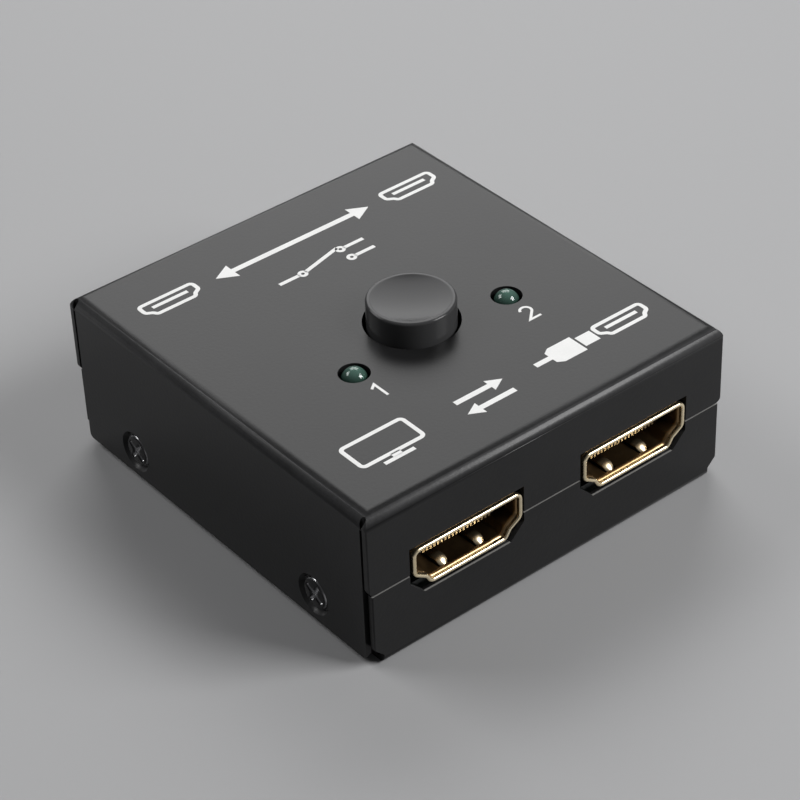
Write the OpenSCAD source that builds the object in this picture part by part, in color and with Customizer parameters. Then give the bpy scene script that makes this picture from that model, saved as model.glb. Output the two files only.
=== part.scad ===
// Two-way video switch box in folded steel sheet.
// A cover with full side panels and half-height front and rear flanges drops over a tray that
// carries the board. The front, with two sockets, faces -Y, and Z = 0 is the underside.

/* [Case] */
// Width over the side panels
body_w = 50; // [48:0.5:58]
// Depth over the front and rear faces
body_d = 53; // [51:0.5:62]
// Height of the top face above the underside
body_h = 20; // [19:0.25:26]
// Thickness of the steel sheet
sheet_t = 0.7; // [0.5:0.05:0.75]
// Outside radius of the cover's bends
bend_r = 1.5; // [1.2:0.05:1.8]
// Outside radius of the tray's bends
tray_bend_r = 1; // [0.9:0.05:1.2]
// Open seam between the cover's flanges and the tray's walls
seam_gap = 0.2; // [0.1:0.05:0.35]
// How far the seam lies below the middle of the sockets
seam_drop = 0.4; // [0:0.05:0.5]
// Radius of the upright corners of the front and rear faces
corner_r = 0.15; // [0.1:0.05:0.5]
// Radius of the lower corners of the cover's flanges
flange_corner_r = 0.8; // [0.4:0.1:1.5]
// Radius of the lower corners of the side panels
panel_corner_r = 0.6; // [0.3:0.1:2]
// Height of the side panels' lower edge above the underside
panel_lift = 0.8; // [0.4:0.1:1.2]
// Upright slot between a flange and the side panel's edge
slot_w = 0.35; // [0.2:0.05:0.5]
// Radius of the relief hole in each top corner
relief_r = 0.35; // [0.25:0.05:0.6]
// How far each end of a tray wall stops short of the side panel's face
wall_inset = 0.4; // [0.2:0.05:0.8]
// Width of the notch in the lower corners of the tray walls
notch_w = 1.2; // [0.6:0.1:2]
// Height at which that notch ends and its slope begins
notch_h = 1.3; // [1.2:0.1:1.8]
// Height of the slope above the notch
notch_rise = 1.2; // [0.6:0.1:2]
// Height of the tray's inner side tabs
tab_h = 6.6; // [6.2:0.1:9]
// Gap between the ends of the tabs and the tray walls
tab_gap = 3; // [2:0.25:5]

/* [Side screws] */
// Height of the side screws above the underside
screw_z = 4.1; // [3.7:0.1:4.4]
// Distance of the front screws from the front face
screw_front_in = 9.8; // [8:0.1:11]
// Distance of the rear screws from the rear face
screw_rear_in = 10.6; // [9.6:0.1:13]
// Thread diameter of the side screws
screw_d = 2.5; // [2:0.1:2.6]
// Length of the side screws under the head
screw_l = 4.5; // [3:0.25:5]
// Head diameter of the side screws
head_d = 3.9; // [3.6:0.1:4.2]
// Thickness of the screw heads, without the dome
head_t = 0.32; // [0.25:0.01:0.36]
// Depth of the pressed dimple under each head
dimple_depth = 0.5; // [0.45:0.05:0.7]
// Diameter of the dimple at the panel's face
dimple_d = 5; // [4.8:0.1:5.6]

/* [Sockets] */
// Distance of each front socket's middle from the side face next to it
socket_side_in = 13.2; // [12:0.1:15.5]
// Width of a socket's opening
opening_w = 14; // [13.5:0.05:14.5]
// Height of a socket's opening
opening_h = 4.55; // [4.4:0.05:4.8]
// Height of the straight sides of the opening
side_h = 2.7; // [2.4:0.05:2.9]
// Width of the sloping shoulder below each straight side
shoulder_w = 1.45; // [1.2:0.05:1.7]
// Height of the sloping shoulder
shoulder_h = 0.9; // [0.7:0.05:1.1]
// Width of the flat floor of the opening
foot_w = 9.9; // [9:0.1:10.4]
// Radius of the opening's corners
opening_r = 0.5; // [0.3:0.05:0.7]
// Wall of the plated shell
shell_t = 0.3; // [0.2:0.02:0.4]
// Thickness of the rolled rim at the mouth
rim_t = 0.45; // [0.4:0.05:0.7]
// Depth of the rolled rim
rim_l = 0.5; // [0.4:0.05:0.8]
// How far the rim stands proud of the case
rim_proud = 0.25; // [0:0.05:0.4]
// Gap between the rim and the cut-out in the case, at the sides and above
cut_gap = 0.35; // [0.2:0.05:0.5]
// Gap between the rim and the cut-out below it
cut_drop = 0.8; // [0.3:0.05:1]
// Width and height of the cut-out's sloping lower corners
cut_slope = 1.9; // [1.4:0.1:2.4]
// Length of a socket from its mouth
socket_l = 12; // [11:0.25:14]
// Depth of the tongue's nose behind the mouth
tongue_in = 2.2; // [2:0.1:3]
// Width of the tongue
tongue_w = 10.4; // [9.8:0.1:11]
// Thickness of the tongue
tongue_t = 1.5; // [1.2:0.05:1.7]
// Height of the tongue's underside above the middle of the opening
tongue_lift = -0.1; // [-0.3:0.05:0.2]
// Length of the insert's block at the rear of the shell
block_l = 4; // [3:0.25:5]
// Pitch of the contacts, which alternate above and below the tongue
contact_pitch = 0.5; // [0.45:0.01:0.52]
// Width of a contact
contact_w = 0.26; // [0.2:0.01:0.3]
// Thickness of a contact
contact_t = 0.12; // [0.08:0.01:0.16]
// Length of the contacts' feet on the board
contact_foot = 1; // [0.6:0.1:1.4]
// Distance between the two spring fingers in the floor
finger_pitch = 5; // [4:0.1:6]
// Width of a spring finger
finger_w = 1.1; // [0.9:0.1:1.6]
// Rise of a finger's nose above the floor
finger_rise = 0.4; // [0.25:0.05:0.5]
// Distance of a finger's nose from the mouth
finger_in = 2; // [1.8:0.1:2.4]
// Distance of a finger's root from the mouth
finger_root = 6; // [5:0.25:7]

/* [Button and switch] */
// Sideways offset of the button and the lamps from the middle of the box
top_shift = 0.6; // [-1:0.1:1]
// Distance of the button's axis from the front face
button_in = 23.7; // [22.5:0.1:25]
// Diameter of the button
cap_d = 10.1; // [9:0.1:10.6]
// Height of the cap from its rim to its skirt's lower edge
cap_h = 4.6; // [4:0.1:5]
// Wall of the cap
cap_wall = 1; // [0.8:0.05:1.2]
// Thickness of the cap's top
cap_top = 1.3; // [1.1:0.05:1.6]
// Radius of the cap's rim
cap_edge_r = 0.3; // [0.2:0.05:0.6]
// Depth of the dished top
dish_depth = 0.45; // [0.2:0.05:0.5]
// Height of the button's rim above the case at rest
cap_rise = 3; // [2.4:0.1:3.4]
// Gap between the button and its hole
cap_gap = 0.45; // [0.3:0.05:0.6]
// Travel of the button
travel = 1.8; // [1:0.1:2]
// Width of the square switch housing
switch_w = 8.5; // [8:0.1:9]
// Height of the switch housing
switch_h = 6.2; // [6:0.1:6.6]
// Wall of the switch housing
switch_wall = 0.8; // [0.6:0.05:0.9]
// Width of the plunger's square stem
stem_w = 3; // [2.6:0.1:3.4]
// Thickness of the plunger's foot
plunger_t = 1.2; // [1:0.1:1.3]
// Running gap round the plunger
plunger_gap = 0.15; // [0.1:0.01:0.25]
// Mean diameter of the return spring
spring_d = 3.6; // [3:0.1:4]
// Diameter of the spring wire
spring_wire = 0.28; // [0.22:0.01:0.3]
// Number of turns of the spring
spring_turns = 4; // [3:0.5:4]

/* [Lamps] */
// Distance between the two lamps
lamp_pitch = 21.6; // [20:0.1:24]
// Distance of the lamps from the front face
lamp_in = 20.3; // [19.5:0.1:21]
// Diameter of a lamp
lamp_d = 3; // [2.8:0.1:3.1]
// Length of a lamp from its flange to its crown
lamp_l = 5.3; // [4.8:0.1:6]
// Diameter of the lamp's flange
lamp_flange_d = 3.8; // [3.4:0.1:4.2]
// Height of the lamp's crown above the case
lamp_rise = 0.6; // [0.2:0.05:1]
// Gap between a lamp and its hole
lamp_gap = 0.3; // [0.15:0.05:0.4]
// Width of a lamp's square leads
lead_w = 0.5; // [0.4:0.05:0.55]
// Distance between a lamp's two leads
lead_pitch = 1.7; // [1.6:0.05:1.8]

/* [Board] */
// Height of the board's standoffs above the base
standoff_h = 5.4; // [5.2:0.1:6.5]
// Diameter of the standoffs
standoff_d = 4.4; // [4:0.1:4.8]
// Diameter of the standoffs' rivet ends in the base
rivet_d = 3.2; // [2.9:0.1:3.6]
// Thickness of the board
board_t = 1.6; // [1.2:0.1:2]
// Gap between the board's edges and the tray
board_gap = 0.4; // [0.25:0.05:0.7]
// Distance of the standoffs from the board's side edges
standoff_in = 2.9; // [2.6:0.1:3.4]
// Distance of the rear standoffs from the board's rear edge
standoff_rear_in = 3.6; // [3.2:0.1:4]
// Gap between the front sockets' contacts and the front standoffs
standoff_behind = 1; // [0.6:0.1:2]
// Thread diameter of the board screws
board_screw_d = 2.5; // [2:0.1:2.6]
// Length of the board screws under the head
board_screw_l = 5; // [4:0.25:6]
// Head diameter of the board screws
board_head_d = 4.2; // [3.8:0.1:4.6]
// Height of the board screws' heads
board_head_t = 1.4; // [1:0.1:1.8]
// Width of the square switch chip
chip_w = 6; // [5:0.25:7]
// Height of the switch chip
chip_h = 0.9; // [0.7:0.05:1.2]

/* [Hidden] */
$fn = 64;

// Small clearances and the overshoot of a cut past the face it opens
fit = 0.03;
slip = 0.05;
hole_slack = 0.15;
pin_slack = 0.15;
over = 0.5;

// Faces of the sheet parts
half_w = body_w / 2;
half_d = body_d / 2;
panel_in = half_w - sheet_t;
panel_end = half_d - sheet_t - slot_w;
wall_in = half_d - sheet_t;
wall_half = half_w - wall_inset;
tab_out = panel_in - dimple_depth;
tab_in = tab_out - sheet_t;

// The stack from the base up to the sockets, and the seam that follows them
board_low = sheet_t + standoff_h;
board_top = board_low + board_t;
socket_z = board_top + shell_t + opening_h / 2;
wall_top = socket_z - seam_drop - seam_gap / 2;
flange_low = wall_top + seam_gap;

// Places of the sockets' mouths
mouth_y = half_d + rim_proud;
front_left = [-half_w + socket_side_in, -mouth_y];
front_right = [half_w - socket_side_in, -mouth_y];
rear = [0, mouth_y];
SOCKETS = [front_left, front_right, rear];

// The board and what stands on it
board_half_w = tab_in - board_gap;
board_half_d = wall_in - board_gap;
standoff_x = board_half_w - standoff_in;
socket_end = socket_l + contact_t + contact_foot;
standoff_front_y = -mouth_y + socket_end + standoff_behind + standoff_d / 2;
standoff_rear_y = board_half_d - standoff_rear_in;
STANDOFFS = [for (x = [-standoff_x, standoff_x], y = [standoff_front_y, standoff_rear_y]) [x, y]];
board_bore_d = board_screw_d + 2 * hole_slack;

// Side screws as [side, y]
screw_front_y = -half_d + screw_front_in;
screw_rear_y = half_d - screw_rear_in;
SIDE_SCREWS = [for (side = [-1, 1], y = [screw_front_y, screw_rear_y]) [side, y]];
dimple_floor_d = head_d + 2 * hole_slack;
collar_l = 0.8;
collar_wall = 0.4;
head_dome = 0.1;
cross_l = 2.7;
cross_w = 0.5;
cross_depth = 0.3;

// Button, switch and spring, from the board up
button_at = [top_shift, -half_d + button_in];
cap_low = body_h + cap_rise - cap_h;
stem_top = body_h + cap_rise - cap_top;
boss_wall = 0.6;
switch_top = board_top + switch_h;
switch_floor = board_top + switch_wall;
switch_ceiling = switch_top - switch_wall;
cavity_w = switch_w - 2 * switch_wall;
blade_t = 0.25;
blade_w = 1.2;
clip_t = 0.3;
stem_hole_w = stem_w + 2 * plunger_gap;
plunger_w = cavity_w - 2 * (blade_t + plunger_gap + clip_t);
plunger_top = switch_ceiling - slip;
plunger_low = plunger_top - plunger_t;
stop_d = spring_d - spring_wire - 4 * plunger_gap;
pin_w = 0.5;
pin_pitch = 2.2;
pin_x = cavity_w / 2 - blade_t / 2;
pin_below = 1;
spring_sides = 6;
spring_rings = 12;

// Lamps
LAMPS = [for (s = [-1, 1]) [top_shift + s * lamp_pitch / 2, -half_d + lamp_in]];
lamp_low = body_h + lamp_rise - lamp_l;
lamp_flange_t = 0.8;
post_h = 2.2;
anvil_h = 1;
anvil_w = 0.9;
lead_below = 1;

// Socket details
finger_t = 0.2;
finger_tip = 1.3;
leg_w = 1;
leg_below = 0.6;
LEGS = [for (side = [-1, 1], share = [0.3, 0.8]) [side, share * socket_l]];
leg_x = opening_w / 2 + shell_t / 2;
contacts_n = 19;

// Parts on the board: a protection chip behind each socket, the switch chip to the left of the
// rear socket, and small parts in two rows to its right
surge_w = 3;
surge_d = 1.4;
surge_h = 0.75;
surge_in = socket_end + hole_slack;
chip_gap = 1.2;
chip_side = opening_w / 2 + rim_t + chip_gap + chip_w / 2;
chip_at = [-chip_side, button_at.y + switch_w / 2 + chip_gap + chip_w / 2];
chip_lead_l = 0.9;
chip_lead_w = 0.22;
chip_lead_t = 0.15;
chip_lead_pitch = 0.5;
chip_lead_last = floor((chip_w / 2 - chip_lead_l) / chip_lead_pitch);
passives_n = 6;
passive_l = 1.6;
passive_w = 0.8;
passive_h = 0.7;
passive_pitch = 1.5;
row_gap = 2.4;

// Outlines

function unit(v) = v / norm(v);
function edge_out(a, b) = let (u = unit(b - a)) [u.y, -u.x];
function turn(a, b, c) = let (u = b - a, v = c - b) u.x * v.y - u.y * v.x;
function before(p, i) = p[(i + len(p) - 1) % len(p)];
function after(p, i) = p[(i + 1) % len(p)];

// A closed outline moved outwards by d, with sharp corners
function outset(p, d) = [for (i = [0 : len(p) - 1])
    let (n = edge_out(before(p, i), p[i]), m = edge_out(p[i], after(p, i)))
    p[i] + d * (n + m) / (1 + n * m)];

// An arc of radius r in corner b of the path a, b, c
function corner_arc(a, b, c, r, steps) =
    let (u = unit(a - b), v = unit(c - b), half = acos(u * v) / 2)
    let (centre = b + unit(u + v) * r / sin(half), start = b + u * r / tan(half) - centre)
    let (first = atan2(start.y, start.x), sweep = (180 - 2 * half) * sign(turn(a, b, c)))
    [for (k = [0 : steps]) centre + r * [cos(first + sweep * k / steps), sin(first + sweep * k / steps)]];

// A closed outline with every corner rounded: outer corners by r + d, inner ones by r - d
function rounded(p, r, d, steps = 5) = [for (i = [0 : len(p) - 1])
    let (a = before(p, i), c = after(p, i), outer = turn(a, p[i], c) > 0)
    each corner_arc(a, p[i], c, outer ? r + d : max(r - d, 0.1), steps)];

// Sharp outline of a socket's opening, wide side up, counter-clockwise from the top right
function opening_outline() =
    let (w = opening_w / 2, h = opening_h / 2, s = h - side_h)
    [[w, h], [-w, h], [-w, s], [-w + shoulder_w, s - shoulder_h], [-foot_w / 2, -h],
        [foot_w / 2, -h], [w - shoulder_w, s - shoulder_h], [w, s]];

// A socket's outline, grown outwards all round
module socket_outline(grow) {
    polygon(rounded(outset(opening_outline(), grow), opening_r, max(grow, 0)));
}

// A block standing on z = low, centred on x and y
module block(w, d, h, low = 0) {
    translate([-w / 2, -d / 2, low]) cube([w, d, h]);
}

// A flat outline in x and z, carried along y about y = 0
module along_y(l) {
    rotate([90, 0, 0]) linear_extrude(l, center = true) children();
}

// A flat outline in y and z, carried along x about x = 0
module along_x(l) {
    rotate([90, 0, 90]) linear_extrude(l, center = true) children();
}

// A rectangle standing on y = 0 with its two upper corners rounded
module arched(w, h, r) {
    translate([-w / 2, 0]) square([w, h - r]);
    translate([-w / 2 + r, 0]) square([w - 2 * r, h]);
    for (s = [-1, 1]) translate([s * (w / 2 - r), h - r]) circle(r);
}

// A rectangle with four rounded corners, centred
module rounded_plan(w, d, r) {
    square([w - 2 * r, d], center = true);
    square([w, d - 2 * r], center = true);
    for (x = [-1, 1], y = [-1, 1]) translate([x * (w / 2 - r), y * (d / 2 - r)]) circle(r);
}

// What is cut off a corner at the origin, with the sheet below and to the left, to round it by r
module corner_scrap(r) {
    difference() {
        translate([-r, -r]) square(r + over);
        translate([-r, -r]) circle(r);
    }
}

// A block with its four upper edges bent to radius r
module bent_block(w, d, h, r) {
    intersection() {
        along_y(d) arched(w, h, r);
        along_x(w) arched(d, h, r);
    }
}

// An upturned channel's section: floor, two walls and two bends
module channel(w, h) {
    translate([0, h]) mirror([0, 1]) difference() {
        arched(w, h, tray_bend_r);
        arched(w - 2 * sheet_t, h - sheet_t, tray_bend_r - sheet_t);
    }
}

// Places for the things that repeat
module at_side_screw(s) {
    translate([s[0] * half_w, s[1], screw_z]) rotate([0, s[0] * 90, 0]) children();
}

module at_side_screws() {
    for (s = SIDE_SCREWS) at_side_screw(s) children();
}

module at_socket(place) {
    translate([place.x, place.y, socket_z]) rotate([0, 0, place.y > 0 ? 180 : 0]) children();
}

module at_sockets() {
    for (place = SOCKETS) at_socket(place) children();
}

// A socket's outline along its own depth, from y = from on
module socket_prism(grow, l, from = 0) {
    translate([0, from + l / 2, 0]) along_y(l) socket_outline(grow);
}

// The cut-outs that the sockets look through, shared by cover and tray
module socket_cuts() {
    w = opening_w / 2 + rim_t + cut_gap;
    high = opening_h / 2 + rim_t + cut_gap;
    low = -opening_h / 2 - rim_t - cut_drop;
    deep = rim_proud + sheet_t;
    at_sockets() translate([0, deep / 2, 0]) along_y(deep + 2 * over)
        polygon([[w, high], [-w, high], [-w, low + cut_slope], [-w + cut_slope, low],
            [w - cut_slope, low], [w, low + cut_slope]]);
}

// Cover

module cover_shell() {
    difference() {
        intersection() {
            bent_block(body_w, body_d, body_h, bend_r);
            linear_extrude(body_h) rounded_plan(body_w, body_d, corner_r);
        }
        bent_block(body_w - 2 * sheet_t, body_d - 2 * sheet_t, body_h - sheet_t, bend_r - sheet_t);
    }
}

// Everything outside the folded blank: the open front and rear, the slots between flange and panel
module cover_edges() {
    block(body_w + 2 * over, body_d + 2 * over, panel_lift + over, -over);
    slot_top = body_h - bend_r;
    for (sy = [-1, 1]) scale([1, sy, 1]) {
        translate([0, panel_end + (half_d - panel_end + over) / 2, 0])
            block(body_w + 2 * over, half_d - panel_end + over, flange_low);
        for (sx = [-1, 1]) scale([sx, 1, 1]) {
            translate([half_w, panel_end + slot_w / 2, 0]) block(2 * sheet_t, slot_w, slot_top);
            translate([half_w - relief_r, panel_end + slot_w / 2, slot_top - relief_r])
                cylinder(r = relief_r, h = bend_r + relief_r + over);
            translate([half_w, half_d - sheet_t / 2, flange_low]) along_y(sheet_t + over)
                scale([1, -1]) corner_scrap(flange_corner_r);
            translate([half_w, panel_end, panel_lift]) along_x(2 * (sheet_t + over))
                scale([1, -1]) corner_scrap(panel_corner_r);
        }
    }
}

// A pressed dimple's inner bulge, at a side screw's place
module dimple_bulge() {
    spread = sheet_t * 0.6;
    translate([0, 0, -sheet_t - dimple_depth])
        cylinder(d1 = dimple_floor_d + 2 * spread, d2 = dimple_d + 2 * spread, h = dimple_depth);
}

module dimple_cut() {
    translate([0, 0, -dimple_depth]) cylinder(d1 = dimple_floor_d, d2 = dimple_d, h = dimple_depth);
    translate([0, 0, -dimple_depth - sheet_t - over])
        cylinder(d = screw_d + 2 * hole_slack, h = dimple_depth + sheet_t + 2 * over);
}

module top_cover() {
    color("#26272a") difference() {
        union() {
            difference() {
                cover_shell();
                cover_edges();
            }
            at_side_screws() dimple_bulge();
        }
        at_side_screws() dimple_cut();
        socket_cuts();
        translate([button_at.x, button_at.y, body_h - sheet_t - over])
            cylinder(d = cap_d + 2 * cap_gap, h = sheet_t + 2 * over);
        for (p = LAMPS) translate([p.x, p.y, body_h - sheet_t - over])
            cylinder(d = lamp_d + 2 * lamp_gap, h = sheet_t + 2 * over);
    }
}

// Tray

// The wide part of a front or rear wall, with the notches in its lower corners
module wall_plate() {
    b = wall_half - notch_w;
    translate([0, half_d - sheet_t / 2, 0]) along_y(sheet_t)
        polygon([[-wall_half, wall_top], [-wall_half, notch_h + notch_rise], [-b, notch_h],
            [b, notch_h], [wall_half, notch_h + notch_rise], [wall_half, wall_top]]);
}

module tab_collar() {
    translate([0, 0, -sheet_t - dimple_depth - sheet_t - collar_l])
        cylinder(d = screw_d + 2 * collar_wall, h = collar_l + sheet_t / 2);
}

module tab_bore() {
    translate([0, 0, -sheet_t - dimple_depth - sheet_t - collar_l - over])
        cylinder(d = screw_d + 2 * fit, h = sheet_t + collar_l + 2 * over);
}

module bottom_tray() {
    color("#232427") difference() {
        union() {
            along_y(2 * (wall_in - tab_gap)) channel(2 * tab_out, tab_h);
            along_x(2 * (wall_half - notch_w)) channel(body_d, wall_top);
            for (sy = [-1, 1]) scale([1, sy, 1]) wall_plate();
            at_side_screws() tab_collar();
        }
        for (sx = [-1, 1], sy = [-1, 1]) scale([sx, sy, 1])
            translate([wall_half, half_d, 0]) linear_extrude(body_h) corner_scrap(corner_r);
        at_side_screws() tab_bore();
        socket_cuts();
        for (p = STANDOFFS) translate([p.x, p.y, -over])
            cylinder(d = rivet_d + 2 * fit, h = sheet_t + 2 * over);
    }
}

// A screw's cross recess, cut down from z = 0
module cross_recess(l, w, depth) {
    for (a = [0, 90]) rotate([0, 0, a]) block(l, w, depth + over, -depth);
}

module side_screws() {
    color("#1a1a1c") at_side_screws() translate([0, 0, -dimple_depth]) difference() {
        union() {
            translate([0, 0, -screw_l]) cylinder(d = screw_d, h = screw_l + head_t / 2);
            cylinder(d = head_d, h = head_t);
            translate([0, 0, head_t]) cylinder(d1 = head_d, d2 = head_d - 4 * head_dome, h = head_dome);
        }
        translate([0, 0, head_t + head_dome]) rotate([0, 0, 20]) cross_recess(cross_l, cross_w, cross_depth);
    }
}

// Button and switch

// The cap's outer half section, with its rounded rim
module cap_section() {
    r = cap_d / 2;
    square([r, cap_h - cap_edge_r]);
    square([r - cap_edge_r, cap_h]);
    translate([r - cap_edge_r, cap_h - cap_edge_r]) circle(cap_edge_r);
}

module button_cap() {
    dish_r = cap_d / 2 - cap_edge_r;
    ball_r = (dish_r * dish_r + dish_depth * dish_depth) / (2 * dish_depth);
    boss_d = (stem_w + 2 * slip) * sqrt(2) + 2 * boss_wall;
    color("#202124") translate([button_at.x, button_at.y, cap_low]) difference() {
        rotate_extrude() intersection() {
            cap_section();
            square([cap_d, cap_h]);
        }
        translate([0, 0, cap_h - dish_depth + ball_r]) sphere(r = ball_r, $fn = 128);
        difference() {
            translate([0, 0, -over]) cylinder(d = cap_d - 2 * cap_wall, h = cap_h - cap_top + over);
            translate([0, 0, -2 * over]) cylinder(d = boss_d, h = cap_h);
        }
        block(stem_w + 2 * slip, stem_w + 2 * slip, cap_h - cap_top + over, -over);
    }
}

// Housing with a post inside the spring, which stops the plunger at the end of its travel
module switch_housing() {
    color("#2d2e30") translate([button_at.x, button_at.y, 0]) {
        difference() {
            block(switch_w, switch_w, switch_h, board_top);
            block(cavity_w, cavity_w, switch_ceiling - switch_floor, switch_floor);
            block(stem_hole_w, stem_hole_w, switch_wall + 2 * over, switch_ceiling - over);
            at_pins() block(pin_w + 2 * fit, blade_t + 2 * fit, switch_wall + 2 * over, board_top - over);
        }
        translate([0, 0, board_top]) cylinder(d = stop_d, h = plunger_low - travel - slip - board_top);
    }
}

module switch_plunger() {
    color("#d9d6cc") translate([button_at.x, button_at.y, 0]) {
        block(plunger_w, plunger_w, plunger_t, plunger_low);
        block(stem_w, stem_w, stem_top - plunger_top, plunger_top);
    }
}

// Two clips that ride on the plunger's foot and bridge the blades
module contact_clips() {
    color("#c9a45a") translate([button_at.x, button_at.y, 0]) for (s = [-1, 1])
        translate([s * (plunger_w / 2 + clip_t / 2), 0, 0])
            block(clip_t, plunger_w - 2 * plunger_gap, plunger_t, plunger_low);
}

// The six terminals' places, with y across each blade
module at_pins() {
    for (s = [-1, 1], i = [-1, 0, 1]) translate([s * pin_x, i * pin_pitch, 0]) rotate([0, 0, 90]) children();
}

module switch_terminals() {
    low = board_low - pin_below;
    color("#cfcfd2") translate([button_at.x, button_at.y, 0]) at_pins() {
        block(pin_w, blade_t, switch_floor - low, low);
        block(blade_w, blade_t, plunger_top - switch_floor, switch_floor);
    }
}

// A round wire wound up the z axis, as one closed tube of flat facets
function spring_centre(i, n, low, high) = let (a = 360 * spring_turns * i / n)
    [spring_d / 2 * cos(a), spring_d / 2 * sin(a), low + (high - low) * i / n];
function spring_point(i, k, n, low, high) =
    let (a = 360 * spring_turns * i / n, b = 360 * k / spring_sides, r = spring_wire / 2)
    spring_centre(i, n, low, high) + r * [cos(a) * cos(b), sin(a) * cos(b), sin(b)];

module return_spring() {
    n = spring_rings * spring_turns;
    m = spring_sides;
    low = switch_floor + spring_wire / 2;
    high = plunger_low - spring_wire / 2;
    points = [for (i = [0 : n], k = [0 : m - 1]) spring_point(i, k, n, low, high)];
    walls = [for (i = [0 : n - 1], k = [0 : m - 1]) let (q = (k + 1) % m)
        each [[i * m + k, i * m + m + k, i * m + q], [i * m + q, i * m + m + k, i * m + m + q]]];
    ends = [for (k = [1 : m - 2]) each [[0, k, k + 1], [n * m, n * m + k + 1, n * m + k]]];
    color("#b9bcc0") translate([button_at.x, button_at.y, 0]) polyhedron(points, concat(walls, ends));
}

// Lamps

module lamp_lens(p) {
    r = lamp_d / 2;
    color("#8fb8a6") translate([p.x, p.y, lamp_low]) difference() {
        rotate_extrude() {
            square([r, lamp_l - r]);
            square([lamp_flange_d / 2, lamp_flange_t]);
            translate([0, lamp_l - r]) intersection() {
                circle(r);
                square(r);
            }
        }
        lamp_posts(fit, over);
    }
}

// The two posts inside a lamp, one with an anvil, grown by a clearance
module lamp_posts(grow, below) {
    w = lead_w + 2 * grow;
    for (s = [-1, 1]) translate([s * lead_pitch / 2, 0, 0]) block(w, w, post_h + below + grow, -below);
    translate([(lead_pitch - (anvil_w - lead_w)) / 2, 0, 0])
        block(anvil_w + 2 * grow, w, anvil_h + 2 * grow, post_h - anvil_h - grow);
}

module lamp_leads(p) {
    color("#c8c9cc") translate([p.x, p.y, lamp_low])
        lamp_posts(0, lamp_low - board_low + lead_below);
}

module lamp_lens_1() {
    lamp_lens(LAMPS[0]);
}

module lamp_lens_2() {
    lamp_lens(LAMPS[1]);
}

module lamp_leads_1() {
    lamp_leads(LAMPS[0]);
}

module lamp_leads_2() {
    lamp_leads(LAMPS[1]);
}

// Sockets, each drawn with its mouth at y = 0 and its depth along +y

// A spring finger's side view: root in the floor, rising to a nose near the mouth
module finger(width) {
    f = -opening_h / 2;
    nose = f + finger_rise;
    along_x(width) polygon([[finger_root + over, f], [finger_in + finger_t, nose],
        [finger_in - finger_t, nose], [finger_tip, f + finger_t / 2], [finger_tip, f - finger_t / 2],
        [finger_in, nose - finger_t], [finger_root, f - shell_t], [finger_root + over, f - shell_t]]);
}

module finger_window() {
    slack = 2 * hole_slack;
    from = finger_tip - hole_slack;
    translate([0, from + (finger_root - from) / 2, 0])
        block(finger_w + slack, finger_root - from, shell_t + over, -opening_h / 2 - shell_t - over / 2);
}

module at_fingers() {
    for (s = [-1, 1]) translate([s * finger_pitch / 2, 0, 0]) children();
}

module shell_legs(grow) {
    h = board_t + leg_below + shell_t + opening_h / 2;
    for (leg = LEGS) translate([leg[0] * leg_x, leg[1], 0])
        block(shell_t + 2 * grow, leg_w + 2 * grow, h + 2 * grow, -h - grow);
}

module shell() {
    difference() {
        union() {
            socket_prism(rim_t, rim_l);
            socket_prism(shell_t, socket_l);
        }
        socket_prism(0, socket_l + 2 * over, -over);
        at_fingers() finger_window();
    }
    at_fingers() finger(finger_w);
    shell_legs(0);
}

// Contact bars: even ones below the tongue, odd ones above it, each with a nose, a tail and a foot
module contacts(grow) {
    w = contact_w + 2 * grow;
    t = contact_t + 2 * grow;
    floor_z = -opening_h / 2 - shell_t;
    for (i = [0 : contacts_n - 1]) translate([(i - (contacts_n - 1) / 2) * contact_pitch, 0, 0]) {
        bar = i % 2 == 0 ? tongue_lift + tongue_t : tongue_lift - contact_t;
        translate([0, (tongue_in - contact_t + socket_l) / 2, 0])
            block(w, socket_l - tongue_in + contact_t, t, bar - grow);
        translate([0, tongue_in - contact_t / 2, 0])
            block(w, t, tongue_t + 2 * contact_t, tongue_lift - contact_t);
        translate([0, socket_l + contact_t / 2, 0]) block(w, t, bar + contact_t - floor_z, floor_z);
        translate([0, socket_l + contact_t + contact_foot / 2, 0]) block(w, contact_foot, contact_t, floor_z);
    }
}

// Plastic block at the rear of the shell and the tongue that it carries
module insert() {
    difference() {
        union() {
            socket_prism(-slip, block_l, socket_l - block_l);
            translate([0, (tongue_in + socket_l) / 2, 0])
                block(tongue_w, socket_l - tongue_in, tongue_t, tongue_lift);
        }
        intersection() {
            contacts(fit);
            translate([0, socket_l, 0]) block(opening_w, 2 * block_l, opening_h, -opening_h / 2);
        }
    }
}

module gold_shell(place) {
    color("#d9b766") at_socket(place) shell();
}

module dark_insert(place) {
    color("#1d1b19") at_socket(place) insert();
}

module gold_contacts(place) {
    color("#e0c27a") at_socket(place) contacts(0);
}

module front_left_shell() {
    gold_shell(front_left);
}

module front_left_insert() {
    dark_insert(front_left);
}

module front_left_contacts() {
    gold_contacts(front_left);
}

module front_right_shell() {
    gold_shell(front_right);
}

module front_right_insert() {
    dark_insert(front_right);
}

module front_right_contacts() {
    gold_contacts(front_right);
}

module rear_shell() {
    gold_shell(rear);
}

module rear_insert() {
    dark_insert(rear);
}

module rear_contacts() {
    gold_contacts(rear);
}

// Board

module circuit_board() {
    drill = board_t + 2 * over;
    color("#1a1f1c") difference() {
        block(2 * board_half_w, 2 * board_half_d, board_t, board_low);
        for (p = STANDOFFS) translate([p.x, p.y, board_low - over]) cylinder(d = board_bore_d, h = drill);
        at_sockets() shell_legs(hole_slack);
        for (p = LAMPS, s = [-1, 1]) translate([p.x + s * lead_pitch / 2, p.y, board_low - over])
            cylinder(d = lead_w * sqrt(2) + 2 * fit, h = drill);
        translate([button_at.x, button_at.y, board_low - over]) at_pins()
            cylinder(d = norm([pin_w, blade_t]) + pin_slack, h = drill);
    }
}

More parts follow.
